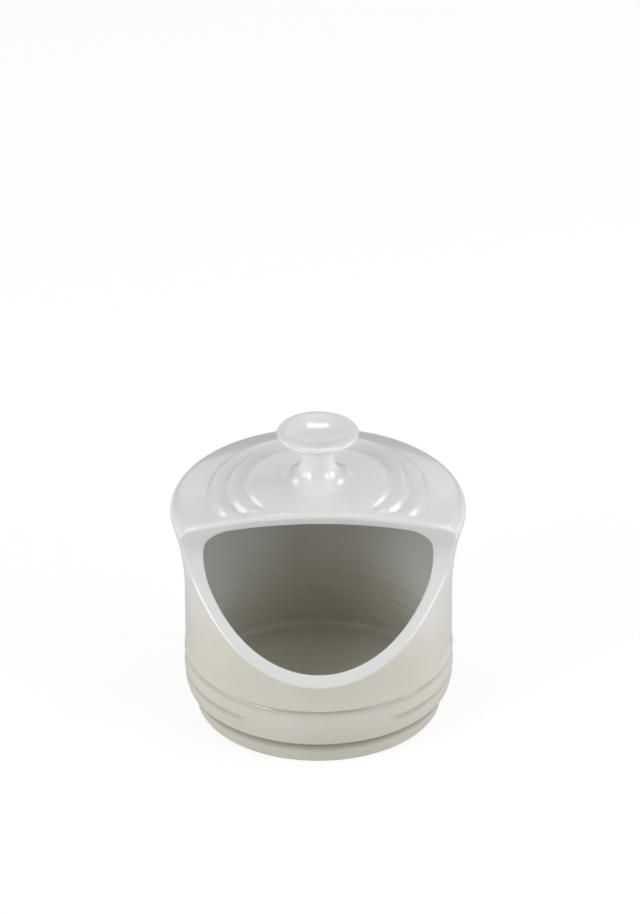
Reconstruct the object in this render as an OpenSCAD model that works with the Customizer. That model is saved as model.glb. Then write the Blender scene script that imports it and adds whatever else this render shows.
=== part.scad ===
// Salt pig: a glazed stoneware salt keeper with a hooded mouth and a dished knob.
// It stands on Z = 0 with its axis on Z. The mouth faces -Y. Sizes are in millimetres.

/* [Pot] */
// Outer radius of the plain wall
wall_r = 53.1; // [48:0.1:58]
// Thickness of the wall
wall_t = 4.6; // [3.5:0.1:6.5]
// Height of the inside floor above the table
floor_z = 5.4; // [4.5:0.1:8]
// Radius between the inside floor and the wall
floor_fillet = 5; // [2:0.5:8]
// How far the foot's edge stands inside the wall
foot_inset = 4.4; // [3:0.1:6]
// Height of the foot, up to the lowest lip
foot_h = 10.5; // [8:0.1:13]
// Radius on the foot's outer edge
foot_round = 2; // [1:0.1:3]
// Width of the ring that the pot stands on
foot_ring_w = 4.5; // [3:0.1:8]
// Depth of the hollow inside the foot ring
foot_hollow = 1.8; // [1:0.1:2.5]

/* [Bands] */
// Height of the belt of two bands above the foot
belt_h = 15.7; // [13:0.1:20]
// How far the belt swells beyond a straight line
belt_swell = 1.1; // [0.4:0.1:2]
// Height of the groove between the bands, above the belt's lower lip
groove_up = 8; // [6:0.1:9.5]
// Depth of that groove under the upper band's lip
groove_d = 0.8; // [0.4:0.1:1.2]
// Height over which the groove runs out down the lower band
groove_run = 4; // [2:0.1:5]
// Angle at the front where the groove stops and the belt stays plain
panel_angle = 66; // [30:1:90]
// Width of the step under each lip
lip_step = 0.9; // [0.4:0.1:1.2]
// Height of the rounded edge of each lip
lip_edge = 0.9; // [0.5:0.1:1.5]
// Height over which the upper lip runs back into the plain wall
lip_run = 5.4; // [3:0.1:10]

/* [Shoulder] */
// Height where the wall begins to flare
flare_z = 52; // [46:0.5:58]
// How far the shoulder stands out beyond the wall
shoulder_out = 5.4; // [4:0.1:7]
// Height where the shoulder is widest
shoulder_z = 87.8; // [84:0.1:92]
// Radius of the shoulder's rounded edge
shoulder_round = 5.5; // [5:0.1:7]

/* [Hood] */
// Height that the smooth dome would reach on the axis
crown_z = 103.2; // [101:0.1:107]
// Thickness of the hood
hood_t = 5.4; // [4:0.1:7]
// Radius between the ceiling and the inside wall
ceiling_fillet = 10; // [6:0.5:14]
// Radius of the innermost ring on the dome
ring_r = 27.9; // [24:0.1:30]
// Distance from one ring to the next
ring_pitch = 7.25; // [5:0.05:8]
// Number of stepped rings
ring_count = 3; // [1:1:3]
// Height of each ring's step
ring_step = 1; // [0.3:0.1:1.4]
// Width of each ring's rounded edge
ring_edge = 3; // [1:0.1:3.5]

/* [Mouth] */
// Height of the mouth's lip at the front of the wall
lip_z = 37.4; // [33:0.1:45]
// Slope of the mouth's lower face
sill_angle = 43.7; // [38:0.1:48]
// Lean of the brow, forward from upright
brow_angle = 27; // [15:0.5:32]
// Radius in the corner between lower face and brow
mouth_round = 14; // [8:0.5:18]
// Distance from the axis to the deepest part of the mouth
mouth_back = 16.8; // [13:0.1:22]

/* [Knob] */
// Radius of the knob's disc
knob_r = 16.1; // [13:0.1:19]
// Height of the knob above its seat on the hood
knob_h = 18.7; // [18:0.1:24]
// Slope of the disc's underside
disc_slope = 18; // [8:1:22]
// Width of the rounded rim round the dish
rim_w = 2.6; // [1.5:0.1:3.5]
// Height that the rim falls from the dish out to its edge
rim_drop = 1; // [0.6:0.1:1.5]
// Radius on the lower side of the rim's edge
rim_round = 1.1; // [0.8:0.1:1.4]
// Depth of the dish in the disc
dish_depth = 2.8; // [1:0.1:4]
// Radius of the neck at its narrowest
neck_r = 6.7; // [5.5:0.1:7.5]
// Radius of the hollow between neck and dome
stem_fillet = 9; // [7:0.1:11]
// Radius of the hollow between neck and disc
disc_fillet = 6.5; // [5:0.1:7]
// Height of the neck above the seat where the knob is luted on
seat_drop = 6.4; // [4:0.1:6.8]

/* [Hidden] */
$fn = 120;
glaze = [0.87, 0.87, 0.85];
// Straight pieces in an arc, in a ring's step and in a stretch of dome
arc_steps = 10;
ring_steps = 6;
dome_steps = 4;
// How far a cut starts outside the surface that it cuts
cut_lead = 0.1;
// How far round the rim's upper side runs before the dish begins
rim_turn = 110;

// Wall and foot
inner_r = wall_r - wall_t;
foot_r = wall_r - foot_inset;
foot_in_r = foot_r - foot_round - foot_ring_w;
hollow_r = foot_in_r - foot_hollow / 2;

// Belt and its lips: each lip's lower corner is drawn in, so that its edge is soft
lip_soft = lip_step / 3;
belt_low_r = wall_r - lip_step;
belt_up_r = wall_r - lip_step / 2;
wall_lip_r = wall_r + lip_step / 2;
belt_low_z = foot_h + lip_edge;
belt_top_z = foot_h + belt_h;
belt_up_z = belt_top_z - lip_edge / 3;
groove_z = foot_h + groove_up;

// Shoulder: the flare is an arc that leaves the wall upright and runs into the shoulder's edge
shoulder_r = wall_r + shoulder_out;
edge_r = shoulder_r - shoulder_round;
rise = shoulder_z - flare_z;
flare_r = (pow(wall_r - edge_r, 2) + rise * rise - shoulder_round * shoulder_round) / (2 * shoulder_out);
flare_angle = asin(rise / (flare_r + shoulder_round));

// Dome: part of a ball that runs into the shoulder's edge
dome_k = crown_z - shoulder_round;
dome_cz = (dome_k * dome_k - shoulder_z * shoulder_z - edge_r * edge_r) / (2 * (dome_k - shoulder_z));
dome_r = crown_z - dome_cz;
dome_angle = atan2(shoulder_z - dome_cz, edge_r);
dome_out_r = edge_r + shoulder_round * cos(dome_angle);

// Ceiling: a ball with the dome's centre, rounded into the inside wall
ceiling_r = dome_r - hood_t;
cove_r = inner_r - ceiling_fillet;
cove_z = dome_cz + sqrt(pow(ceiling_r - ceiling_fillet, 2) - cove_r * cove_r);
cove_angle = atan2(cove_z - dome_cz, cove_r);

// Stem: a hollow curve that runs from the dome up to the neck
stem_cr = neck_r + stem_fillet;
neck_z = dome_cz + sqrt(pow(dome_r + stem_fillet, 2) - stem_cr * stem_cr);
stem_angle = atan2(neck_z - dome_cz, stem_cr);
stem_out_r = dome_r * cos(stem_angle);
seat_z = neck_z - seat_drop;
seat_angle = asin(seat_drop / stem_fillet);

// Disc of the knob
knob_top = seat_z + knob_h;
rim_z = knob_top - rim_drop;
rim_in_r = knob_r - rim_w;
disc_in_r = knob_r - rim_round;
disc_low_z = rim_z - rim_round;
throat_r = neck_r + disc_fillet;
throat_out_r = throat_r - disc_fillet * sin(disc_slope);
throat_z = disc_low_z - (disc_in_r - throat_out_r) * tan(disc_slope) - disc_fillet * cos(disc_slope);
dish_in_r = rim_in_r + rim_w * cos(rim_turn);
dish_r = (dish_in_r * dish_in_r + dish_depth * dish_depth) / (2 * dish_depth);
dish_cz = rim_z + rim_drop * sin(rim_turn) - dish_depth + dish_r;
dish_angle = asin(dish_in_r / dish_r);

// Mouth, in the side view
corner_y = -mouth_back - mouth_round;
corner_z = lip_z + (mouth_round + (corner_y + wall_r) * sin(sill_angle)) / cos(sill_angle);
seam_z = corner_z;
reach = 2 * shoulder_r;

// Points along an arc about [x, z]
function arc(x, z, r, from, to) =
    [for (i = [0:arc_steps]) let (a = from + (to - from) * i / arc_steps) [x + r * cos(a), z + r * sin(a)]];

// Points along the upper side of the knob's rim, between its edge and the dish
rim_side = [for (i = [1:arc_steps - 1])
    let (a = rim_turn * i / arc_steps) [rim_in_r + rim_w * cos(a), rim_z + rim_drop * sin(a)]];

// Radius of the belt's swelling outside
function belt_r(z) = let (t = (z - belt_low_z) / (belt_up_z - belt_low_z))
    belt_low_r + t * (belt_up_r - belt_low_r) + 4 * belt_swell * t * (1 - t);

// Points up the belt, from lip to lip
belt_side = [for (i = [0:arc_steps])
    let (z = belt_low_z + (belt_up_z - belt_low_z) * i / arc_steps) [belt_r(z), z]];

// Height of the smooth dome
function dome_z(r) = dome_cz + sqrt(dome_r * dome_r - r * r);

// Points on the dome between r_a and r_b, lifted by an amount that runs from up_a to up_b
function dome_run(r_a, r_b, up_a, up_b) =
    [for (i = [1:dome_steps - 1]) let (t = i / dome_steps, r = r_a + (r_b - r_a) * t)
        [r, dome_z(r) + up_a + (up_b - up_a) * t]];

// One ring's step, from its foot outside to its crest inside
function ring(i) =
    [for (k = [0:ring_steps]) let (t = k / ring_steps, r = ring_r + i * ring_pitch + ring_edge * (0.5 - t))
        [r, dome_z(r) + ring_step * (sin(90 * t) - 0.5)]];

rings = [for (i = [ring_count - 1:-1:0]) each ring(i)];
last_ring_r = ring_r + (ring_count - 1) * ring_pitch;

// Outside of the pot and hood, from the foot up to the knob's seat
outside = concat(
    [[0, foot_hollow], [hollow_r, foot_hollow], [foot_in_r, 0]],
    arc(foot_r - foot_round, foot_round, foot_round, -90, 0),
    [[belt_low_r - lip_step, foot_h - lip_step / 2], [belt_low_r - lip_soft, foot_h]],
    belt_side,
    [[wall_lip_r - lip_soft, belt_top_z], [wall_lip_r, belt_top_z + lip_edge]],
    [[wall_r, belt_top_z + lip_run]],
    arc(wall_r + flare_r, flare_z, flare_r, 180, 180 - flare_angle),
    arc(edge_r, shoulder_z, shoulder_round, -flare_angle, dome_angle),
    dome_run(dome_out_r, last_ring_r + ring_edge / 2, 0, -ring_step / 2),
    rings,
    dome_run(ring_r - ring_edge / 2, stem_out_r, ring_step / 2, 0),
    arc(stem_cr, neck_z, stem_fillet, 180 + stem_angle, 180 + seat_angle),
    [[0, seat_z]]);

// Inside of the pot and hood
inside = concat(
    [[0, floor_z]],
    arc(inner_r - floor_fillet, floor_z + floor_fillet, floor_fillet, -90, 0),
    arc(cove_r, cove_z, ceiling_fillet, 0, cove_angle),
    arc(0, dome_cz, ceiling_r, cove_angle, 90));

// Side view of the mouth, with the open side far out in front
mouth_side = concat(
    [[-reach, lip_z - (reach - wall_r) * tan(sill_angle)]],
    arc(corner_y, corner_z, mouth_round, sill_angle - 90, brow_angle),
    [[corner_y + mouth_round * cos(brow_angle) - reach * sin(brow_angle),
        corner_z + mouth_round * sin(brow_angle) + reach * cos(brow_angle)]],
    [[-reach, corner_z + reach]]);

module mouth_cut() {
    translate([-reach / 2, 0, 0]) rotate([90, 0, 90]) linear_extrude(reach) polygon(mouth_side);
}

// Groove between the two bands, open everywhere but at the front panel
module groove_cut() {
    rotate([0, 0, panel_angle / 2 - 90])
        rotate_extrude(angle = 360 - panel_angle)
            polygon([
                [belt_r(groove_z) - groove_d, groove_z],
                [shoulder_r, groove_z + lip_step],
                [shoulder_r, groove_z - groove_run],
                [belt_r(groove_z - groove_run) + cut_lead, groove_z - groove_run]]);
}

// Wall, floor and ceiling from one height to another
module shell(from, to) {
    rotate_extrude()
        intersection() {
            difference() {
                polygon(outside);
                polygon(inside);
            }
            translate([0, from]) square([reach, to - from]);
        }
}

// Lower part: floor, foot, banded wall and the lower half of the mouth
module pot() {
    color(glaze) difference() {
        shell(0, seam_z);
        groove_cut();
        mouth_cut();
    }
}

// Upper part: flared shoulder, stepped dome and brow, luted to the pot at the corners of the mouth
module hood() {
    color(glaze) difference() {
        shell(seam_z, knob_top);
        mouth_cut();
    }
}

// Dished knob on a waisted stem, luted to the hood
module knob() {
    color(glaze) rotate_extrude() polygon(concat(
        [[0, seat_z]],
        arc(stem_cr, neck_z, stem_fillet, 180 + seat_angle, 180),
        arc(throat_r, throat_z, disc_fillet, 180, 90 + disc_slope),
        arc(disc_in_r, rim_z, rim_round, disc_slope - 90, 0),
        rim_side,
        arc(0, dish_cz, dish_r, dish_angle - 90, -90)));
}

pot();
hood();
knob();
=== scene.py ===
"""Salt pig of white-glazed stoneware: its finish and its studio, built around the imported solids."""

import math

import bpy
import numpy as np
from bpy.props import FloatProperty, FloatVectorProperty, IntProperty, PointerProperty
from bpy.types import Operator, Panel, PropertyGroup
from mathutils import Matrix, Vector


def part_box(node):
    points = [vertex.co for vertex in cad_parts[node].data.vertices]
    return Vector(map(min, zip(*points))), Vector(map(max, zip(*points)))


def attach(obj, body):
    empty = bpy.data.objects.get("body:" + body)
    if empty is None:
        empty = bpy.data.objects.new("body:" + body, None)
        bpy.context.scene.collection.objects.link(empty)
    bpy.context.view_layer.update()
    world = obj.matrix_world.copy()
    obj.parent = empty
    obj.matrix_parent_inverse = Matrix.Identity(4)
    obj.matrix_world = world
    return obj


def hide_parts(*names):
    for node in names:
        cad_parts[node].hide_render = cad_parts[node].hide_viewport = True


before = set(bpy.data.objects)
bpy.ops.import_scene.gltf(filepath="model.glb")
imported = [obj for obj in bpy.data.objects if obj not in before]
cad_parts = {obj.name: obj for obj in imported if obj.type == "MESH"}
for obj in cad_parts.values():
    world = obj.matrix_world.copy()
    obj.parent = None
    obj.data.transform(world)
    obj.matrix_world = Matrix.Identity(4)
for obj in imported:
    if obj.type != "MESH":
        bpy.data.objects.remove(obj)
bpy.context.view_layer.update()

bl_info = {
    "name": "Salt Pig",
    "version": (1, 0, 0),
    "blender": (4, 5, 0),
    "location": "View3D > Sidebar > Salt Pig",
    "description": "Models a hooded stoneware salt pig with a dished knob",
    "category": "Add Mesh",
}

MM = 0.001
WELD = 0.001 * MM
QUARTER = math.pi / 2
PHOTO_SIZE = (640, 914)

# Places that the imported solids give
HOOD_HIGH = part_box("hood")[1]
KNOB_LOW, KNOB_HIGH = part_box("knob")


def length(name, description, default):
    """A size in metres that a user may change."""
    return FloatProperty(name=name, description=description, default=default, unit="LENGTH", precision=5)


def angle(name, description, degrees):
    """An angle that a user may change."""
    return FloatProperty(name=name, description=description, default=math.radians(degrees), subtype="ANGLE")


def colour(name, description, default):
    """A colour that a user may change."""
    return FloatVectorProperty(name=name, description=description, default=default, subtype="COLOR",
                               min=0.0, max=1.0)


class PotSizes(PropertyGroup):
    """Sizes of the pot's wall, foot and bands."""

    wall_r: length("Wall radius", "Outer radius of the plain wall", 53.1 * MM)
    wall_t: length("Wall thickness", "Thickness of the wall", 4.6 * MM)
    floor_z: length("Floor height", "Height of the inside floor above the table", 5.4 * MM)
    floor_fillet: length("Floor fillet", "Radius between the inside floor and the wall", 2.6 * MM)
    throw_depth: length("Throwing lines", "Depth of the soft throwing lines inside", 0.045 * MM)
    throw_pitch: length("Throwing pitch", "Height from one throwing line to the next", 4 * MM)
    foot_inset: length("Foot inset", "How far the foot's edge stands inside the wall", 4.4 * MM)
    foot_h: length("Foot height", "Height of the foot, up to the lowest lip", 10.3 * MM)
    foot_round: length("Foot rounding", "Radius on the foot's outer edge", 2 * MM)
    foot_ring_w: length("Foot ring width", "Width of the ring that the pot stands on", 4.5 * MM)
    foot_hollow: length("Foot hollow", "Depth of the hollow inside the foot ring", 1.8 * MM)
    belt_h: length("Belt height", "Height of the belt of two bands above the foot", 15.9 * MM)
    belt_swell: length("Belt swell", "How far the belt swells beyond a straight line", 1.1 * MM)
    groove_up: length("Groove height", "Height of the middle groove above the lowest lip", 8.2 * MM)
    groove_d: length("Groove depth", "Depth of the middle groove", 0.8 * MM)
    groove_run: length("Groove run", "Height over which the groove runs out below", 4 * MM)
    panel_angle: angle("Panel angle", "Angle at the front where the belt stays plain", 62)
    panel_fade: angle("Panel fade", "Angle over which the groove fades in beside the panel", 7)
    lip_step: length("Lip step", "Width of the step under each lip", 0.9 * MM)
    lip_edge: length("Lip edge", "Height of each lip's rounded edge", 0.8 * MM)
    low_nick: length("Lowest nick", "Depth of the nick under the lowest lip", 0.4 * MM)
    high_nick: length("Upper nicks", "Depth of the nicks under the two upper lips", 0.2 * MM)
    nick_h: length("Nick height", "Half the height of a nick", 0.55 * MM)
    lip_run: length("Lip run", "Height over which the upper lip runs into the wall", 5.4 * MM)


class HoodSizes(PropertyGroup):
    """Sizes of the shoulder, dome and rings."""

    flare_z: length("Flare height", "Height where the wall begins to flare", 52 * MM)
    shoulder_r: length("Shoulder radius", "Radius of the shoulder where it is widest", HOOD_HIGH.x)
    shoulder_z: length("Shoulder height", "Height where the shoulder is widest", 87.8 * MM)
    shoulder_round: length("Shoulder rounding", "Radius of the shoulder's rounded edge", 5.5 * MM)
    crown_z: length("Crown height", "Height that the smooth dome would reach on the axis", 103.2 * MM)
    hood_t: length("Hood thickness", "Thickness of the hood", 5.4 * MM)
    ceiling_fillet: length("Ceiling fillet", "Radius between the ceiling and the inside wall", 10 * MM)
    ring_r: length("Ring radius", "Radius of the innermost ring on the dome", 27.9 * MM)
    ring_pitch: length("Ring pitch", "Distance from one ring to the next", 7.25 * MM)
    ring_count: IntProperty(name="Rings", description="Number of stepped rings", default=3, min=1)
    ring_step: length("Ring step", "Height of each ring's step", 1 * MM)
    ring_edge: length("Ring edge", "Width of each ring's rounded edge", 3 * MM)
    ring_gap: length("Ring gap", "Plain strip between the brow and the ends of the rings", 1.0 * MM)
    ring_fade: length("Ring fade", "Distance over which the rings rise from that strip", 4.5 * MM)
    plateau_fade: length("Plateau fade", "Distance over which the dome inside the rings does so", 24 * MM)


class MouthSizes(PropertyGroup):
    """Sizes of the mouth and of its rounded rim."""

    lip_z: length("Lip height", "Height of the mouth's lip at the front of the wall", 37.6 * MM)
    sill_angle: angle("Sill angle", "Slope of the mouth's lower face", 43.7)
    brow_angle: angle("Brow angle", "Lean of the brow, forward from upright", 22.7)
    corner_round: length("Corner rounding", "Radius between lower face and brow", 14.4 * MM)
    back: length("Mouth depth", "Distance from the axis to the deepest part of the mouth", 18.55 * MM)
    outer_round: length("Outer rounding", "Radius on the rim's outer edge", 1.4 * MM)
    inner_round: length("Inner rounding", "Radius on the rim's inner edge", 0.8 * MM)


class KnobSizes(PropertyGroup):
    """Sizes of the knob and its stem."""

    knob_r: length("Knob radius", "Radius of the knob's disc", KNOB_HIGH.x)
    seat_z: length("Seat height", "Height of the seat where the knob is luted on", KNOB_LOW.z)
    top_z: length("Knob top", "Height of the knob's top", KNOB_HIGH.z)
    disc_slope: angle("Disc slope", "Slope of the disc's underside", 18)
    rim_w: length("Rim width", "Width of the rounded rim round the dish", 2.6 * MM)
    rim_drop: length("Rim drop", "Height that the rim falls from the dish out to its edge", 1 * MM)
    rim_round: length("Rim rounding", "Radius on the lower side of the rim's edge", 1.1 * MM)
    rim_turn: angle("Rim turn", "How far round the rim's upper side runs before the dish", 110)
    dish_depth: length("Dish depth", "Depth of the dish in the disc", 2.8 * MM)
    neck_r: length("Neck radius", "Radius of the neck at its narrowest", 6.7 * MM)
    stem_fillet: length("Stem fillet", "Radius of the hollow between neck and dome", 9 * MM)
    disc_fillet: length("Disc fillet", "Radius of the hollow between neck and disc", 6.5 * MM)


class GlazeLooks(PropertyGroup):
    """Colours and gloss of the glaze, with painted light and shade in its colour."""

    # Painted light and shade: the glaze is drawn white high up and on the mouth's up-facing rim, where the
    # top light falls, and darker and warmer low down and on the outside wall, where less light falls;
    # partly the glaze's own warm tone
    white: colour("White", "Colour of the glaze where it lies thin, above and on the mouth's rim",
                  (0.84, 0.825, 0.785))
    shaded_cream: colour("Cream", "Colour of the glaze where it lies thick, below", (0.70, 0.652, 0.555))
    shade_full_z: length("Thick below", "Height below which the glaze lies thick", 5 * MM)
    shade_none_z: length("Thin above", "Height above which the glaze lies thin", 50 * MM)
    wall_shade_rise: length("Wall rise", "How much higher up the glaze lies thick on the outside wall", 32 * MM)
    lit_rim_fade: length("Rim fade", "Width of the change from the mouth's white rim to the wall", 0.7 * MM)
    # Painted shade: dark colour under each lip where the lip shades the wall, thinning out below it; partly
    # glaze pooled there
    pooled_shade: colour("Pooled", "Colour of the glaze where it pools under the lips", (0.22, 0.20, 0.16))
    low_shade_run: length("Low pool run", "Height over which the pool thins out below the lowest lip", 5.5 * MM)
    pool_shade_run: length("Pool run", "Height over which a pool thins out below the two upper lips", 3.8 * MM)
    clay: colour("Clay", "Colour of the bare clay under the foot", (0.55, 0.47, 0.38))
    gloss: FloatProperty(name="Roughness", description="Roughness of the glaze", default=0.16,
                         min=0.0, max=1.0)
    bare_z: length("Bare height", "Height of the unglazed edge under the foot ring", 0.4 * MM)


class StageLooks(PropertyGroup):
    """Camera, light and floor."""

    aim: FloatVectorProperty(name="Aim", description="Point that the camera looks at",
                             default=(0.0, 0.0, 60 * MM), subtype="TRANSLATION", unit="LENGTH")
    distance: length("Distance", "Distance from the camera to its aim", 3.5)
    elevation: angle("Elevation", "Camera's angle above the horizon", 31.0)
    roll: angle("Roll", "Camera's turn about its own line of sight", -0.25)
    pixel: FloatProperty(name="Pixels per metre", description="Scale of the picture at the aim",
                         default=2519.2)
    aim_x: FloatProperty(name="Aim across", description="Pixel column of the aim", default=318.4)
    aim_y: FloatProperty(name="Aim down", description="Pixel row of the aim", default=569.25)
    floor: colour("Floor", "Colour of the floor", (0.76, 0.75, 0.72))
    ambient: FloatProperty(name="Ambient", description="Strength of the light from all round", default=0.04)


class SaltPig(PropertyGroup):
    """All the settings of the salt pig."""

    pot: PointerProperty(type=PotSizes)
    hood: PointerProperty(type=HoodSizes)
    mouth: PointerProperty(type=MouthSizes)
    knob: PointerProperty(type=KnobSizes)
    glaze: PointerProperty(type=GlazeLooks)
    stage: PointerProperty(type=StageLooks)


# Outlines in the side view, as rows of radius and height

# How finely outlines, edges and faces are divided
HALF_STEPS = 80
SILL_ROWS = 90
BROW_ROWS = 110
FLOOR_ROWS = 160
CEILING_ROWS = 30
WALL_STEP = 0.5 * MM
LIP_STEP = 0.14 * MM
LIP_REACH = 2 * MM
RING_STEP = 0.2 * MM
RING_LEAD = 5 * RING_STEP
RING_APART = RING_STEP / 4
SLOPE_STEP = 0.1 * MM
SEAT_STEP = 0.02 * MM
SEARCH_STEPS = 6000
SHORT_ARC = 10
ARC_STEPS = 24
DISH_ARC = 40
EDGE_ARC = 60
CEILING_ARC = 60
FLARE_ARC = 80
DOME_ARC = 120
RING_ARC = 16
OUTER_ARC = 7
INNER_ARC = 5
FACE_STEPS = 3

# Pitch of the second set of throwing lines, in pitches of the first
THROW_RATIO = 1.6


def arc(centre, radius, start, end, steps=ARC_STEPS):
    """Points along an arc, from one angle to another."""
    turn = np.linspace(start, end, steps + 1)
    return np.column_stack((centre[0] + radius * np.cos(turn), centre[1] + radius * np.sin(turn)))


def ease(t):
    """Smooth rise from 0 to 1."""
    t = np.clip(t, 0.0, 1.0)
    return t * t * (3 - 2 * t)


def spread(steps):
    """Values from 0 to 1 that lie close together at both ends."""
    return (1 - np.cos(np.linspace(0, np.pi, steps + 1))) / 2


class Outline:
    """A side outline, walked by its length."""

    def __init__(self, points):
        self.points = np.array(points)
        steps = np.linalg.norm(np.diff(self.points, axis=0), axis=1)
        self.points = self.points[np.concatenate(([True], steps > WELD))]
        steps = np.linalg.norm(np.diff(self.points, axis=0), axis=1)
        self.lengths = np.concatenate(([0.0], np.cumsum(steps)))

    def at(self, s):
        """Points at these lengths along the outline."""
        return np.column_stack([np.interp(s, self.lengths, column) for column in self.points.T])

    def right(self, s):
        """Directions to the right of the way that the outline is walked."""
        ahead = self.at(s + SLOPE_STEP) - self.at(s - SLOPE_STEP)
        ahead /= np.linalg.norm(ahead, axis=1)[:, None]
        return np.column_stack((ahead[:, 1], -ahead[:, 0]))


class Form:
    """Sizes worked out from the settings, and the outlines of the pot and hood."""

    def __init__(self, settings):
        pot, hood, mouth, knob = settings.pot, settings.hood, settings.mouth, settings.knob
        self.pot, self.hood, self.mouth, self.knob = pot, hood, mouth, knob
        self.inner_r = pot.wall_r - pot.wall_t
        self.lips = (pot.foot_h, pot.foot_h + pot.groove_up, pot.foot_h + pot.belt_h)

        # Shoulder: a flare that leaves the wall upright and runs into a rounded edge
        self.edge_r = hood.shoulder_r - hood.shoulder_round
        rise = hood.shoulder_z - hood.flare_z
        out = hood.shoulder_r - pot.wall_r
        self.flare_r = ((pot.wall_r - self.edge_r) ** 2 + rise ** 2 - hood.shoulder_round ** 2) / (2 * out)
        self.flare_angle = math.asin(rise / (self.flare_r + hood.shoulder_round))

        # Dome: part of a ball that runs into the shoulder's edge
        reach = hood.crown_z - hood.shoulder_round
        over = reach ** 2 - hood.shoulder_z ** 2 - self.edge_r ** 2
        self.dome_z = over / (2 * (reach - hood.shoulder_z))
        self.dome_r = hood.crown_z - self.dome_z
        self.dome_angle = math.atan2(hood.shoulder_z - self.dome_z, self.edge_r)
        self.dome_out_r = self.dome_r * math.cos(self.dome_angle)

        # Stem: a hollow that runs from the dome up to the neck
        self.stem_r = knob.neck_r + knob.stem_fillet
        self.neck_z = self.dome_z + math.sqrt((self.dome_r + knob.stem_fillet) ** 2 - self.stem_r ** 2)
        self.stem_angle = math.atan2(self.neck_z - self.dome_z, self.stem_r)
        self.stem_out_r = self.dome_r * math.cos(self.stem_angle)
        self.seat_angle = math.asin((self.neck_z - knob.seat_z) / knob.stem_fillet)

        # Corner of the mouth, between sill and brow
        self.corner_y = -mouth.back - mouth.corner_round
        slope = (self.corner_y + pot.wall_r) * math.sin(mouth.sill_angle)
        self.corner_z = mouth.lip_z + (mouth.corner_round + slope) / math.cos(mouth.sill_angle)

    def lip(self, z, lip_z):
        """One above a lip and zero below it, with a rounded edge between."""
        return ease((z - lip_z) / self.pot.lip_edge + 0.5)

    def nick(self, z, lip_z, depth):
        """Depth of the nick under a lip at these heights."""
        return depth * np.exp(-(((z - lip_z) / self.pot.nick_h + 1) ** 2))

    def low_wall(self, z):
        """Radius of the foot, belt and wall at these heights, without the middle groove."""
        pot = self.pot
        low_z, _, high_z = self.lips
        foot_r = pot.wall_r - pot.foot_inset
        foot_out = pot.foot_inset - 2 * pot.lip_step
        foot = foot_r + foot_out * (z - pot.foot_round) / (low_z - pot.foot_round)
        t = (z - low_z) / pot.belt_h
        belt = pot.wall_r - pot.lip_step * (1 - t / 2) + 4 * pot.belt_swell * t * (1 - t)
        wall = pot.wall_r + pot.lip_step / 2 * (1 - ease((z - high_z) / pot.lip_run))
        stepped = foot + (belt - foot) * self.lip(z, low_z) + (wall - belt) * self.lip(z, high_z)
        return stepped - self.nick(z, low_z, pot.low_nick) - self.nick(z, high_z, pot.high_nick)

    def groove(self, z):
        """Depth of the middle groove at these heights."""
        pot = self.pot
        middle_z = self.lips[1]
        run = ease((z - middle_z) / pot.groove_run + 1)
        return pot.groove_d * run * (1 - self.lip(z, middle_z)) + self.nick(z, middle_z, pot.high_nick)

    def ring_lift(self, r):
        """Height of the stepped rings above the smooth dome at these radii."""
        hood = self.hood
        half = hood.ring_step / 2
        radii, lifts = [self.stem_out_r], [0.0]
        for i in range(hood.ring_count):
            t = np.linspace(0, 1, RING_ARC + 1)
            radii.extend(hood.ring_r + i * hood.ring_pitch + hood.ring_edge * (t - 0.5))
            lifts.extend(hood.ring_step * np.cos(t * np.pi / 2) - half)
        return np.interp(r, radii + [self.dome_out_r], lifts + [0.0])

    def wall_heights(self):
        """Heights of the rows up the wall, close together at the lips."""
        z = [self.pot.foot_round]
        while z[-1] < self.hood.flare_z:
            near = min(abs(z[-1] - lip_z) for lip_z in self.lips) < LIP_REACH
            z.append(z[-1] + (LIP_STEP if near else WALL_STEP))
        return np.array(z[:-1])

    def outside(self):
        """Smooth outside from the foot's edge to the seat of the knob."""
        pot, hood, knob = self.pot, self.hood, self.knob
        z = self.wall_heights()
        low = np.column_stack((self.low_wall(z), z))
        flare = arc((pot.wall_r + self.flare_r, hood.flare_z), self.flare_r,
                    math.pi, math.pi - self.flare_angle, FLARE_ARC)
        edge = arc((self.edge_r, hood.shoulder_z), hood.shoulder_round,
                   -self.flare_angle, self.dome_angle, EDGE_ARC)
        dome = arc((0, self.dome_z), self.dome_r, self.dome_angle, self.stem_angle, DOME_ARC)
        stem = arc((self.stem_r, self.neck_z), knob.stem_fillet, math.pi + self.stem_angle,
                   math.pi + self.seat_angle)
        return Outline(np.vstack((low, flare, edge, dome, stem)))

    def inside(self):
        """Inside from the middle of the floor over the wall to the middle of the ceiling."""
        pot, hood = self.pot, self.hood
        ceiling_r = self.dome_r - hood.hood_t
        cove_r = self.inner_r - hood.ceiling_fillet
        cove_z = self.dome_z + math.sqrt((ceiling_r - hood.ceiling_fillet) ** 2 - cove_r ** 2)
        cove_angle = math.atan2(cove_z - self.dome_z, cove_r)
        floor_arc = arc((self.inner_r - pot.floor_fillet, pot.floor_z + pot.floor_fillet), pot.floor_fillet,
                        -QUARTER, 0)
        wall_z = np.arange(floor_arc[-1][1] + WALL_STEP, cove_z, WALL_STEP)
        wall = np.column_stack((np.full_like(wall_z, self.inner_r), wall_z))
        cove = arc((cove_r, cove_z), hood.ceiling_fillet, 0, cove_angle)
        ceiling = arc((0, self.dome_z), ceiling_r, cove_angle, QUARTER, CEILING_ARC)
        return Outline(np.vstack(([[0, pot.floor_z]], floor_arc, wall, cove, ceiling)))

    def mouth_face(self, z, deep):
        """The mouth's face, moved into the clay by a depth: its Y and its direction at these heights."""
        mouth = self.mouth
        radius = mouth.corner_round + deep
        low, high = mouth.sill_angle - QUARTER, mouth.brow_angle
        turn = np.arcsin(np.clip((z - self.corner_z) / radius, math.sin(low), math.sin(high)))
        y = self.corner_y + radius * np.cos(turn)
        past = z - self.corner_z - radius * np.sin(turn)
        y = y - past * np.tan(turn)
        return y, np.column_stack((np.zeros_like(z), -np.cos(turn), -np.sin(turn)))


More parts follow.
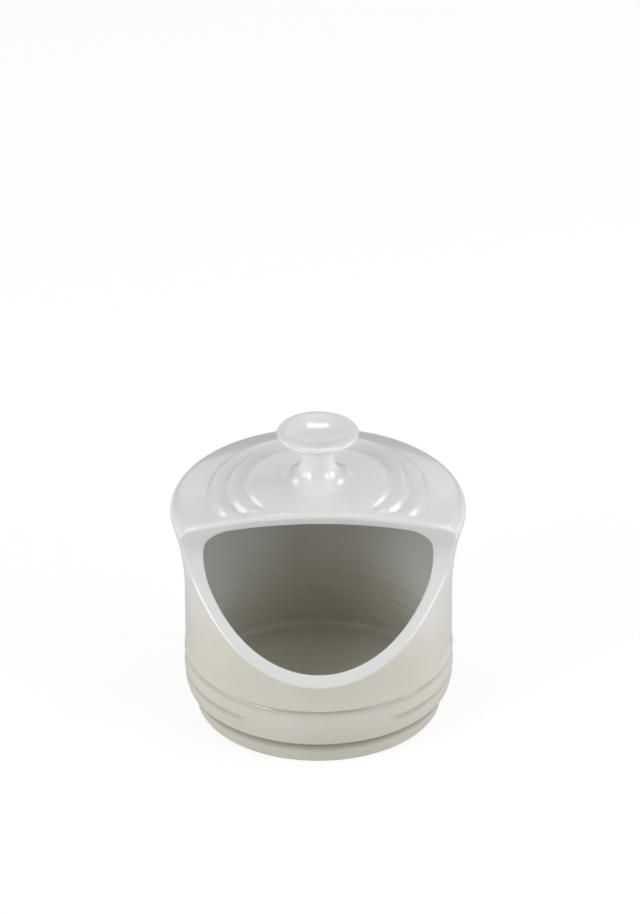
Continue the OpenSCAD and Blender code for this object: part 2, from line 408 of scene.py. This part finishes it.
class Rim:
    """Where the mouth cuts one side of the wall, with a rounded edge along the cut."""

    def __init__(self, form, outline, side, round_r):
        self.form, self.outline, self.side, self.round_r = form, outline, side, round_r
        s = np.linspace(0, outline.lengths[-1], SEARCH_STEPS)
        centre, _ = self.ball(s)
        y, _ = form.mouth_face(centre[:, 1], round_r)
        open_ = -y < centre[:, 0]
        first, last = np.flatnonzero(open_)[[0, -1]]
        gap = centre[:, 0] + y
        self.low = np.interp(0, gap[first - 1:first + 1], s[first - 1:first + 1])
        self.high = np.interp(0, -gap[last:last + 2], s[last:last + 2])
        self.seam = np.interp(form.corner_z, centre[first:last, 1], s[first:last])

    def ball(self, s):
        """Centre of the ball that rounds the edge, in the side view, and the wall's outward direction."""
        out = self.side * self.outline.right(s)
        return self.outline.at(s) - self.round_r * out, out

    def rows(self, start, end, shares):
        """Rows of the wall between two lengths, the angle where each meets the mouth, and the edge."""
        s = start + (end - start) * shares
        centre, out = self.ball(s)
        y, face = self.form.mouth_face(centre[:, 1], self.round_r)
        opening = np.arccos(np.clip(-y / centre[:, 0], -1, 1))
        opening[(s < self.low + WELD) | (s > self.high - WELD)] = 0.0
        across = np.column_stack((np.sin(opening), -np.cos(opening), np.zeros_like(s)))
        up = np.array((0, 0, 1))
        ball = centre[:, :1] * across + centre[:, 1:] * up
        normal = out[:, :1] * across + out[:, 1:] * up
        between = np.arccos(np.clip((normal * face).sum(1), -1, 1))
        count = OUTER_ARC if self.side > 0 else INNER_ARC
        edge = []
        for t in np.linspace(0, 1, count + 1):
            a = np.sin((1 - t) * between) / np.sin(between)
            b = np.sin(t * between) / np.sin(between)
            edge.append(ball + self.round_r * (a[:, None] * normal + b[:, None] * face))
        return self.outline.at(s), opening, edge


# Modelling by hand, in edit mode

SMOOTH_ANGLE = math.radians(35)

# Share of the half turn past which a vertex lies at the back, where the halves meet
LAST_SHARE = 0.9999


def deselect():
    """Nothing stays selected or active."""
    bpy.ops.object.select_all(action="DESELECT")
    bpy.context.view_layer.objects.active = None


def draw(name, points):
    """A new object whose mesh is one line, drawn by extruding a point along an outline."""
    deselect()
    bpy.ops.mesh.primitive_plane_add(size=MM, location=(0, 0, 0))
    piece = bpy.context.object
    piece.name = piece.data.name = name
    bpy.ops.object.mode_set(mode="EDIT")
    bpy.ops.mesh.merge(type="CENTER")
    here = Vector((0, 0, 0))
    for i, (r, z) in enumerate(points):
        there = Vector((0, -r, z))
        if i == 0:
            bpy.ops.transform.translate(value=there - here)
        else:
            bpy.ops.mesh.extrude_region_move(TRANSFORM_OT_translate={"value": there - here})
        here = there
    bpy.ops.object.mode_set(mode="OBJECT")
    rows = piece.data.attributes.new("row", "INT", "POINT")
    rows.data.foreach_set("value", np.arange(len(points), dtype=np.int32))
    return piece


def spin_half():
    """Spins the line just drawn half way round the axis."""
    bpy.ops.object.mode_set(mode="EDIT")
    bpy.ops.mesh.select_all(action="SELECT")
    bpy.ops.mesh.spin(steps=HALF_STEPS, angle=math.pi, center=(0, 0, 0), axis=(0, 0, 1),
                      use_auto_merge=False)
    bpy.ops.object.mode_set(mode="OBJECT")


def rows_and_places(mesh):
    """Each vertex's row, and its place."""
    row = np.zeros(len(mesh.vertices), np.int32)
    mesh.attributes["row"].data.foreach_get("value", row)
    place = np.zeros(3 * len(mesh.vertices), np.float32)
    mesh.vertices.foreach_get("co", place)
    return row, place.reshape(-1, 3).astype(float)


def put(mesh, place):
    """Moves the vertices to these places."""
    mesh.vertices.foreach_set("co", place.astype(np.float32).ravel())
    mesh.update()


def extrude_rim(piece, columns, first_row):
    """Extrudes the wall's edge round the rim, one strip at a time, and lays each strip on its column."""
    mesh = piece.data
    row, place = rows_and_places(mesh)
    last_row = first_row + len(columns[0]) - 1
    start = {v for v in range(len(row)) if first_row <= row[v] <= last_row
             and np.linalg.norm(place[v] - columns[0][row[v] - first_row]) < WELD}
    bpy.ops.object.mode_set(mode="EDIT")
    bpy.ops.mesh.select_mode(type="EDGE")
    bpy.ops.mesh.select_all(action="DESELECT")
    bpy.ops.object.mode_set(mode="OBJECT")
    for edge in mesh.edges:
        edge.select = edge.vertices[0] in start and edge.vertices[1] in start
    bpy.ops.object.mode_set(mode="EDIT")
    for column in columns[1:]:
        bpy.ops.mesh.extrude_edges_move()
        bpy.ops.object.mode_set(mode="OBJECT")
        row, place = rows_and_places(mesh)
        chosen = np.zeros(len(row), bool)
        mesh.vertices.foreach_get("select", chosen)
        place[chosen] = column[row[chosen] - first_row]
        put(mesh, place)
        bpy.ops.object.mode_set(mode="EDIT")
    bpy.ops.mesh.select_mode(type="VERT")
    bpy.ops.object.mode_set(mode="OBJECT")


def weld():
    """Merges what coincides in the active piece."""
    bpy.ops.object.mode_set(mode="EDIT")
    bpy.ops.mesh.select_all(action="SELECT")
    bpy.ops.mesh.remove_doubles(threshold=WELD)
    bpy.ops.object.mode_set(mode="OBJECT")


def mirror_and_close(piece):
    """Mirrors the half, closes what is still open, turns the faces outwards and smooths them."""
    weld()
    mirror = piece.modifiers.new("halves", "MIRROR")
    mirror.use_axis = (True, False, False)
    mirror.merge_threshold = WELD
    bpy.ops.object.modifier_apply(modifier=mirror.name)
    weld()
    bpy.ops.object.mode_set(mode="EDIT")
    bpy.ops.mesh.select_all(action="SELECT")
    bpy.ops.mesh.fill_holes(sides=0)
    bpy.ops.mesh.select_all(action="SELECT")
    bpy.ops.mesh.normals_make_consistent(inside=False)
    bpy.ops.object.mode_set(mode="OBJECT")
    bpy.ops.object.shade_smooth_by_angle(angle=SMOOTH_ANGLE)
    piece.data.attributes.remove(piece.data.attributes["row"])
    return piece


def turn_half(name, points, openings=None, relief=None, columns=(), first_row=0):
    """A closed piece spun from an outline, drawn open at the front where its rows have an opening."""
    piece = draw(name, points)
    spin_half()
    row, place = rows_and_places(piece.data)
    share = np.arctan2(np.abs(place[:, 0]), -place[:, 1]) / np.pi
    opening = np.zeros(len(row)) if openings is None else openings[row]
    turn = opening + share * (np.pi - opening)
    r, z = points[row].T
    if relief:
        out, up = relief(row, turn)
        r, z = r + out, z + up
    side = np.where(share > LAST_SHARE, 0.0, np.sin(turn))
    put(piece.data, np.column_stack((r * side, -r * np.cos(turn), z)))
    if len(columns):
        extrude_rim(piece, columns, first_row)
    return mirror_and_close(piece)


# Materials

GLAZE_NAME = "creamy_white_glaze"

# Noise cells to a metre
CLOUD_SCALE = 32.0
RIPPLE_SCALE = 160.0
GRAIN_SCALE = 2400.0

# How strongly painted shade, partly pooled glaze, darkens under the lowest, middle and highest lip
POOL_SHADES = (0.82, 0.38, 0.3)

# Depth over which the middle painted shade begins beside the plain panel
PANEL_EDGE = 4 * MM

# How far through the wall the outside begins, as shares of its thickness
OUTSIDE_SHARES = (0.05, 0.2)

COAT = 0.5
COAT_ROUGHNESS = 0.06
CLOUD_MIDDLE = 0.5
CLOUD_ROUGHNESS = 0.06
BARE_ROUGHNESS = 0.7
BUMP_STRENGTH = 0.25
BUMP_DEPTH = 0.1 * MM
RIPPLE_SHARE = 0.35

# A Mix node's sockets for colours: the two that go in, and the one that comes out
MIX_FIRST, MIX_SECOND, MIX_OUT = 6, 7, 2


class Shade:
    """An output of a shader node. Arithmetic on it adds Math nodes."""

    def __init__(self, tree, socket=None):
        self.tree, self.socket = tree, socket

    def node(self, kind, settings=None, inputs=None, output=0):
        """Adds a node of any kind, with its settings and what goes into its sockets."""
        made = self.tree.nodes.new(kind)
        for key, value in (settings or {}).items():
            setattr(made, key, value)
        for key, value in (inputs or {}).items():
            if isinstance(value, Shade):
                self.tree.links.new(value.socket, made.inputs[key])
            else:
                made.inputs[key].default_value = value
        return Shade(self.tree, made.outputs[output] if len(made.outputs) else None)

    def other(self, output):
        """Another output of the same node."""
        return Shade(self.tree, self.socket.node.outputs[output])

    def math(self, operation, first, second):
        """A Math node on two values."""
        return self.node("ShaderNodeMath", {"operation": operation}, {0: first, 1: second})

    def __add__(self, other):
        return self.math("ADD", self, other)

    def __sub__(self, other):
        return self.math("SUBTRACT", self, other)

    def __rsub__(self, other):
        return self.math("SUBTRACT", other, self)

    def __mul__(self, other):
        return self.math("MULTIPLY", self, other)

    __radd__ = __add__
    __rmul__ = __mul__

    def steps(self, low, high, to_low=0.0, to_high=1.0):
        """A smooth change from one value to another as this goes from low to high."""
        inputs = {"Value": self, "From Min": low, "From Max": high, "To Min": to_low, "To Max": to_high}
        return self.node("ShaderNodeMapRange", {"interpolation_type": "SMOOTHSTEP"}, inputs)

    def mix(self, first, second):
        """A colour between two others, by this factor."""
        inputs = {"Factor": self, MIX_FIRST: first, MIX_SECOND: second}
        return self.node("ShaderNodeMix", {"data_type": "RGBA"}, inputs, MIX_OUT)


def new_material(name):
    """An empty material, and a start for its nodes."""
    material = bpy.data.materials.new(name)
    material.use_nodes = True
    material.node_tree.nodes.clear()
    return material, Shade(material.node_tree)


def rgba(value):
    """A colour with full alpha."""
    return (*value, 1.0)


def shade_under_lip(height, lip_z, run, edge):
    """One where painted shade, partly pooled glaze, lies under a lip, thinning out below it and ending at
    its edge.
    """
    return height.steps(lip_z - run, lip_z - edge) * height.steps(lip_z - edge, lip_z + edge, 1.0, 0.0)


def white_glaze(settings):
    """Glossy glaze with painted light and shade: white high up and on the mouth's rim, darker and warmer
    low down, painted shade under the lips, and bare clay under the foot.
    """
    found = bpy.data.materials.get(GLAZE_NAME)
    if found:
        return found
    looks, pot, form = settings.glaze, settings.pot, Form(settings)
    material, start = new_material(GLAZE_NAME)
    place = start.node("ShaderNodeTexCoord", output="Object")
    x = start.node("ShaderNodeSeparateXYZ", inputs={"Vector": place})
    y, height = x.other("Y"), x.other("Z")
    cloud, ripple, grain = (start.node("ShaderNodeTexNoise", inputs={"Vector": place, "Scale": scale})
                            for scale in (CLOUD_SCALE, RIPPLE_SCALE, GRAIN_SCALE))
    bare = height.steps(looks.bare_z, looks.bare_z * 2, 1.0, 0.0)
    # Painted shade under the three lips, on the outside only; partly pooled glaze
    runs = (looks.low_shade_run, looks.pool_shade_run, looks.pool_shade_run)
    low, middle, high = (share * shade_under_lip(height, lip_z, run, pot.nick_h)
                         for share, lip_z, run in zip(POOL_SHADES, form.lips, runs))
    panel_y = -pot.wall_r * math.cos(pot.panel_angle / 2)
    beside = y.steps(panel_y, panel_y + PANEL_EDGE)
    skin = [(form.inner_r + share * pot.wall_t) ** 2 for share in OUTSIDE_SHARES]
    outside = (x * x + y * y).steps(*skin)
    pool = outside * (low + middle * beside + high)
    # Painted light: the mouth's up-facing rim is drawn white, as the top light falls on it
    sill = settings.mouth.sill_angle
    over_sill = (height - settings.mouth.lip_z) * math.cos(sill) - (y + pot.wall_r) * math.sin(sill)
    rim = over_sill.steps(-looks.lit_rim_fade, 0.0)
    # Painted light and shade: white high up, darker and warmer low down and further up the outside wall,
    # partly the glaze's own tone
    thick = (height - outside * looks.wall_shade_rise).steps(looks.shade_full_z, looks.shade_none_z, 1.0, 0.0)
    clouding = cloud - CLOUD_MIDDLE
    thick = (thick + clouding) * (1 - rim)
    glaze = pool.mix(thick.mix(rgba(looks.white), rgba(looks.shaded_cream)), rgba(looks.pooled_shade))
    shader = start.node("ShaderNodeBsdfPrincipled", inputs={
        "Base Color": bare.mix(glaze, rgba(looks.clay)),
        "Roughness": clouding * CLOUD_ROUGHNESS + looks.gloss + bare * BARE_ROUGHNESS,
        "Coat Weight": COAT - bare * COAT,
        "Coat Roughness": COAT_ROUGHNESS,
        "Normal": start.node("ShaderNodeBump", inputs={
            "Strength": BUMP_STRENGTH,
            "Distance": BUMP_DEPTH,
            "Height": ripple * RIPPLE_SHARE + grain * bare}),
    })
    start.node("ShaderNodeOutputMaterial", inputs={"Surface": shader})
    return material


# The pieces


def dress(piece, node, settings):
    """Gives a finished piece its glaze, and puts it in its CAD node's place."""
    piece.data.materials.clear()
    piece.data.materials.append(white_glaze(settings))
    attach(piece, "root")
    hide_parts(node)


def face_steps(start, end):
    """Columns across the flat of the rim, between its two rounded edges."""
    return [start + (end - start) * i / FACE_STEPS for i in range(1, FACE_STEPS)]


class SALTPIG_OT_pot(Operator):
    """Model the pot with its foot, bands and the lower half of the mouth"""

    bl_idname = "salt_pig.pot"
    bl_label = "Pot"

    def execute(self, context):
        settings = context.scene.salt_pig
        form, pot = Form(settings), settings.pot
        outer = Rim(form, form.outside(), 1, settings.mouth.outer_round)
        inner = Rim(form, form.inside(), -1, settings.mouth.inner_round)
        shares = spread(SILL_ROWS)
        out_rows, out_open, out_edge = outer.rows(outer.low, outer.seam, shares)
        in_rows, in_open, in_edge = inner.rows(inner.low, inner.seam, shares)
        foot_r = pot.wall_r - pot.foot_inset - pot.foot_round
        foot_in_r = foot_r - pot.foot_ring_w
        hollow = arc((foot_in_r, pot.foot_hollow), pot.foot_hollow, math.pi, 3 * QUARTER, SHORT_ARC)
        under = np.vstack(([[0, pot.foot_hollow]], hollow))
        edge = arc((foot_r, pot.foot_round), pot.foot_round, -QUARTER, 0, SHORT_ARC)[:-1]
        low = outer.outline.points[outer.outline.lengths < outer.low - LIP_STEP]
        floor = inner.outline.at(np.linspace(inner.low, 0, FLOOR_ROWS)[1:])
        points = np.vstack((under, edge, low, out_rows, in_rows[::-1], floor))
        first_row = len(under) + len(edge) + len(low)
        inside_row = first_row + len(out_rows)
        openings = np.zeros(len(points))
        openings[first_row:inside_row + len(in_rows)] = np.concatenate((out_open, in_open[::-1]))
        columns = out_edge + face_steps(out_edge[-1], in_edge[-1]) + in_edge[::-1]
        z = points[:, 1]
        rows = np.arange(len(points))
        is_low = (rows < first_row) & (z > pot.foot_round)
        groove = np.where(is_low, form.groove(z), 0.0)
        is_inside = rows > inside_row + len(in_rows)
        swing = 2 * np.pi * z / pot.throw_pitch
        wave = pot.throw_depth * (np.sin(swing) + np.sin(swing / THROW_RATIO)) * is_inside
        wave *= ease((form.mouth.lip_z - z) / pot.throw_pitch) * ease((z - pot.floor_z) / pot.throw_pitch)

        def relief(row, turn):
            beside = ease((turn - pot.panel_angle / 2) / pot.panel_fade)
            return wave[row] - groove[row] * beside, 0.0

        piece = turn_half("pot_glazed", points, openings, relief, columns, first_row)
        dress(piece, "pot", settings)
        return {"FINISHED"}


def ring_shares(form, outer):
    """Where the rows from seam to brow lie, close together at the rings' edges."""
    hood, walk = form.hood, outer.outline
    s = np.linspace(outer.seam, outer.high, SEARCH_STEPS)
    r, z = walk.at(s).T
    on_dome = z > hood.shoulder_z
    shares = spread(BROW_ROWS)
    for i in range(hood.ring_count):
        foot_r = hood.ring_r + i * hood.ring_pitch + hood.ring_edge / 2
        foot_s = np.interp(-foot_r, -r[on_dome], s[on_dome])
        near = np.arange(foot_s - RING_LEAD, foot_s + hood.ring_edge, RING_STEP)
        near = (near[near < outer.high] - outer.seam) / (outer.high - outer.seam)
        apart = np.abs(shares[:, None] - near).min(0) > RING_APART / (outer.high - outer.seam)
        shares = np.sort(np.concatenate((shares, near[apart])))
    return shares


class SALTPIG_OT_hood(Operator):
    """Model the hood with its shoulder, stepped dome, brow and the upper half of the mouth"""

    bl_idname = "salt_pig.hood"
    bl_label = "Hood"

    def execute(self, context):
        settings = context.scene.salt_pig
        form, hood, knob = Form(settings), settings.hood, settings.knob
        outer = Rim(form, form.outside(), 1, settings.mouth.outer_round)
        inner = Rim(form, form.inside(), -1, settings.mouth.inner_round)
        shares = ring_shares(form, outer)
        out_rows, out_open, out_edge = outer.rows(outer.seam, outer.high, shares)
        in_rows, in_open, in_edge = inner.rows(inner.seam, inner.high, shares)
        ceiling = inner.outline.at(np.linspace(inner.outline.lengths[-1], inner.high, CEILING_ROWS)[:-1])
        top = outer.outline.at(np.arange(outer.high + RING_STEP, outer.outline.lengths[-1], WALL_STEP))
        seat = outer.outline.at(outer.outline.lengths[-1] - np.array((SEAT_STEP, 0)))
        points = np.vstack((ceiling, in_rows[::-1], out_rows, top, seat, [[0, knob.seat_z]]))
        first_row = len(ceiling) + len(in_rows)
        openings = np.zeros(len(points))
        openings[len(ceiling):first_row + len(out_open)] = np.concatenate((in_open[::-1], out_open))
        columns = out_edge + face_steps(out_edge[-1], in_edge[-1]) + in_edge[::-1]
        r, z = points.T
        is_dome = (np.arange(len(points)) >= first_row) & (z > hood.shoulder_z)
        lift = np.where(is_dome, form.ring_lift(r), 0.0)
        brow_r = outer.outline.at(np.array([outer.high]))[0, 0]
        brow_y = np.where(openings > 0, -r * np.cos(openings), -brow_r)

        # The dome inside the rings rises from the brow more slowly than the rings do
        edges = (hood.ring_r - hood.ring_edge, hood.ring_r + hood.ring_edge)
        fade = np.interp(r, edges, (hood.plateau_fade, hood.ring_fade))

        def relief(row, turn):
            behind = -r[row] * np.cos(turn) - brow_y[row]
            return 0.0, lift[row] * ease((behind - hood.ring_gap) / fade[row])

        piece = turn_half("hood_glazed", points, openings, relief, columns, first_row)
        dress(piece, "hood", settings)
        return {"FINISHED"}


class SALTPIG_OT_knob(Operator):
    """Model the dished knob on its waisted stem"""

    bl_idname = "salt_pig.knob"
    bl_label = "Knob"

    def execute(self, context):
        settings = context.scene.salt_pig
        form, knob = Form(settings), settings.knob
        rim_z = knob.top_z - knob.rim_drop
        rim_in_r = knob.knob_r - knob.rim_w
        disc_in_r = knob.knob_r - knob.rim_round
        low_z = rim_z - knob.rim_round
        throat_r = knob.neck_r + knob.disc_fillet
        throat_out_r = throat_r - knob.disc_fillet * math.sin(knob.disc_slope)
        throat_z = (low_z - (disc_in_r - throat_out_r) * math.tan(knob.disc_slope)
                    - knob.disc_fillet * math.cos(knob.disc_slope))
        dish_in_r = rim_in_r + knob.rim_w * math.cos(knob.rim_turn)
        dish_r = (dish_in_r ** 2 + knob.dish_depth ** 2) / (2 * knob.dish_depth)
        dish_z = rim_z + knob.rim_drop * math.sin(knob.rim_turn) - knob.dish_depth + dish_r
        dish_angle = math.asin(dish_in_r / dish_r)
        rim = arc((0, 0), 1, 0, knob.rim_turn) * (knob.rim_w, knob.rim_drop) + (rim_in_r, rim_z)
        outline = Outline(np.vstack((
            arc((form.stem_r, form.neck_z), knob.stem_fillet, math.pi + form.seat_angle, math.pi),
            arc((throat_r, throat_z), knob.disc_fillet, math.pi, QUARTER + knob.disc_slope),
            arc((disc_in_r, rim_z), knob.rim_round, knob.disc_slope - QUARTER, 0, SHORT_ARC),
            rim,
            arc((0, dish_z), dish_r, dish_angle - QUARTER, -QUARTER, DISH_ARC))))
        seat = outline.at(np.array((0, SEAT_STEP)))
        points = np.vstack(([[0, knob.seat_z]], seat, outline.points[1:]))
        points[-1, 0] = 0.0
        piece = turn_half("knob_glazed", points)
        dress(piece, "knob", settings)
        return {"FINISHED"}


# The stage

# How much of the white surroundings a gloss shows
GLOSS_SHARE = 0.15

# How much of the floor's colour still takes light and shadow, under its own glow
SHADOW_SHARE = 0.3
FLOOR_GLOW = 0.82

FLOOR_SIZE = 30.0
WHITE = (1.0, 1.0, 1.0, 1.0)
SENSOR_MM = 36.0
FAR = 100.0

# Soft boxes: name, place and size in metres, watts of red, green and blue
SOFT_BOXES = (
    ("top", (0, 0, 1.3), (1.0, 0.6), (0.92, 0.87, 0.85)),
    ("top_front", (0, -0.4, 1.25), (1.0, 0.3), (0.75, 0.7, 0.7)),
    ("top_back", (0, 0.67, 1.17), (0.5, 0.2), (1.6, 1.65, 1.75)),
    ("left_over", (-0.6, -0.6, 1.1), (0.4, 0.4), (0.9, 1.0, 1.1)),
    ("right_over", (0.6, -0.6, 1.1), (0.4, 0.4), (0.25, 0.32, 0.42)),
    ("left_high", (-0.85, -0.3, 0.95), (0.3, 0.5), (0.4, 0.35, 0.25)),
    ("right_high", (0.85, -0.3, 0.95), (0.3, 0.5), (0.9, 0.8, 0.65)),
    ("left_mid", (-0.9, -0.75, 0.65), (0.4, 0.6), (3.95, 4.4, 4.7)),
    ("right_mid", (0.9, -0.75, 0.65), (0.4, 0.6), (2.75, 3.3, 3.65)),
    ("left_wide", (-1.15, -0.35, 0.45), (0.5, 0.6), (0.9, 0.75, 0.65)),
    ("right_wide", (1.15, -0.35, 0.45), (0.5, 0.6), (0.95, 0.75, 0.65)),
    ("left_side", (-1.2, -0.1, 0.45), (0.5, 0.5), (1.2, 1.2, 1.4)),
    ("right_side", (1.2, -0.1, 0.45), (0.5, 0.5), (4.2, 4.2, 4.9)),
    ("left_front", (-1.02, -0.66, 0.4), (0.9, 0.6), (3.0, 3.0, 2.95)),
    ("right_front", (1.02, -0.66, 0.4), (0.9, 0.6), (1.25, 1.25, 1.2)),
    ("left_back", (-0.84, 0.57, 0.95), (0.45, 0.45), (1.7, 1.75, 1.95)),
    ("right_back", (0.84, 0.57, 0.95), (0.45, 0.45), (2.25, 2.3, 2.35)),
    ("back_low", (0, 1.2, 0.5), (1.0, 0.5), (0.8, 0.9, 0.95)),
)


class SALTPIG_OT_stage(Operator):
    """Set up the floor, the light and the camera"""

    bl_idname = "salt_pig.stage"
    bl_label = "Stage"

    def execute(self, context):
        looks = context.scene.salt_pig.stage
        make_floor(looks)
        make_world(context.scene, looks)
        aim = Vector(looks.aim)
        for name, place, size, watts in SOFT_BOXES:
            area_light(name, aim, place, size, watts)
        make_camera(context.scene, looks)
        context.scene.view_settings.view_transform = "Standard"
        return {"FINISHED"}


def seen_directly(start):
    """One where the camera or glass sees, less where a gloss does, and zero for light on other things."""
    camera = start.node("ShaderNodeLightPath", output="Is Camera Ray")
    gloss, glass = camera.other("Is Glossy Ray"), camera.other("Is Transmission Ray")
    return start.math("MAXIMUM", start.math("MAXIMUM", camera, glass), gloss * GLOSS_SHARE)


def make_floor(looks):
    """A plain pale floor, white to the eye, that keeps a soft shadow."""
    deselect()
    bpy.ops.mesh.primitive_plane_add(size=FLOOR_SIZE, location=(0, 0, 0))
    floor = bpy.context.object
    floor.name = "floor"
    material, start = new_material("pale_floor")
    lit = start.node("ShaderNodeBsdfDiffuse", inputs={"Color": rgba(looks.floor)})
    shadow = start.node("ShaderNodeBsdfPrincipled", inputs={
        "Base Color": rgba([SHADOW_SHARE * c for c in looks.floor]), "Roughness": 1.0,
        "Specular IOR Level": 0.0, "Emission Color": WHITE, "Emission Strength": FLOOR_GLOW})
    surface = start.node("ShaderNodeMixShader", inputs={0: seen_directly(start), 1: lit, 2: shadow})
    start.node("ShaderNodeOutputMaterial", inputs={"Surface": surface})
    floor.data.materials.append(material)


def make_world(scene, looks):
    """Faint even light from all round, white to the eye."""
    world = bpy.data.worlds.new("studio")
    world.use_nodes = True
    world.node_tree.nodes.clear()
    start = Shade(world.node_tree)
    faint, white = (start.node("ShaderNodeBackground", inputs={"Color": WHITE, "Strength": strength})
                    for strength in (looks.ambient, 1.0))
    light = start.node("ShaderNodeMixShader", inputs={0: seen_directly(start), 1: faint, 2: white})
    start.node("ShaderNodeOutputWorld", inputs={"Surface": light})
    scene.world = world


def area_light(name, aim, place, size, watts):
    """A soft box that faces the salt pig."""
    lamp = bpy.data.lights.new(name, "AREA")
    lamp.shape = "RECTANGLE"
    lamp.size, lamp.size_y = size
    lamp.energy = max(watts)
    lamp.color = [w / lamp.energy for w in watts]
    light = bpy.data.objects.new(name, lamp)
    bpy.context.scene.collection.objects.link(light)
    light.location = place
    light.rotation_euler = (aim - Vector(place)).to_track_quat("-Z", "Y").to_euler()


def make_camera(scene, looks):
    """The photograph's viewpoint, with its frame shifted to its framing."""
    data = bpy.data.cameras.new("camera")
    camera = bpy.data.objects.new("camera", data)
    scene.collection.objects.link(camera)
    aim = Vector(looks.aim)
    back = Vector((0, -math.cos(looks.elevation), math.sin(looks.elevation)))
    wide, high = PHOTO_SIZE
    data.sensor_width = SENSOR_MM
    data.lens = looks.pixel * looks.distance * data.sensor_width / high
    data.shift_x = (wide / 2 - looks.aim_x) / high
    data.shift_y = (looks.aim_y - high / 2) / high
    data.clip_end = FAR
    turn = (-back).to_track_quat("-Z", "Y").to_matrix().to_4x4() @ Matrix.Rotation(looks.roll, 4, "Z")
    camera.matrix_world = Matrix.Translation(aim + back * looks.distance) @ turn
    scene.camera = camera


OPERATORS = (SALTPIG_OT_pot, SALTPIG_OT_hood, SALTPIG_OT_knob, SALTPIG_OT_stage)


class SALTPIG_PT_sidebar(Panel):
    """Lists the pieces of the salt pig"""

    bl_idname = "SALTPIG_PT_sidebar"
    bl_label = "Salt Pig"
    bl_space_type = "VIEW_3D"
    bl_region_type = "UI"
    bl_category = "Salt Pig"

    def draw(self, context):
        for operator in OPERATORS:
            self.layout.operator(operator.bl_idname)


CLASSES = (PotSizes, HoodSizes, MouthSizes, KnobSizes, GlazeLooks, StageLooks, SaltPig, *OPERATORS,
           SALTPIG_PT_sidebar)


def register():
    """Adds the settings, the operators and the panel."""
    for cls in CLASSES:
        bpy.utils.register_class(cls)
    bpy.types.Scene.salt_pig = PointerProperty(type=SaltPig)


def unregister():
    """Takes them away again."""
    del bpy.types.Scene.salt_pig
    for cls in reversed(CLASSES):
        bpy.utils.unregister_class(cls)


def main():
    """Builds the salt pig and its stage."""
    register()
    bpy.ops.salt_pig.pot()
    bpy.ops.salt_pig.hood()
    bpy.ops.salt_pig.knob()
    bpy.ops.salt_pig.stage()


if __name__ == "__main__":
    main()
